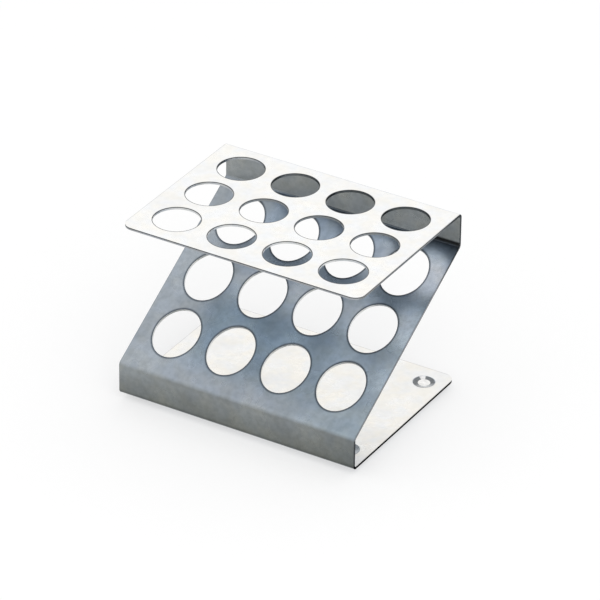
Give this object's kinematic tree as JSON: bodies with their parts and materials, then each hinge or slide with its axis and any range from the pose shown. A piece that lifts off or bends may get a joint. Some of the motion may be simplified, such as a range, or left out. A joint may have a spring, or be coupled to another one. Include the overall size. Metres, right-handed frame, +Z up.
{
  "type": "test tube rack",
  "caption": "Bent sheet steel rack in a Z shape that holds test tubes upright through round holes in its top plate and oval holes in its sloping panel.",
  "frame": {"origin": "middle of the rack in plan, on the surface it stands on", "axes": "+X along the rows of tube holes, +Y from the open front of the top plate to the rear bend, +Z up"},
  "size_m": [0.107, 0.0804, 0.078],
  "materials": {
    "sheet_steel": "mill-finished stainless sheet, lightly mottled",
    "rivet_steel": "plain steel rivet, smooth",
    "foot_rubber": "matt moulded rubber"
  },
  "bodies": {
    "root": {"rack_sheet": "sheet_steel", "rivet_front_left": "rivet_steel", "rivet_front_right": "rivet_steel", "rivet_rear_left": "rivet_steel", "rivet_rear_right": "rivet_steel", "foot_front_left": "foot_rubber", "foot_front_right": "foot_rubber", "foot_rear_left": "foot_rubber", "foot_rear_right": "foot_rubber"}
  },
  "joints": []
}
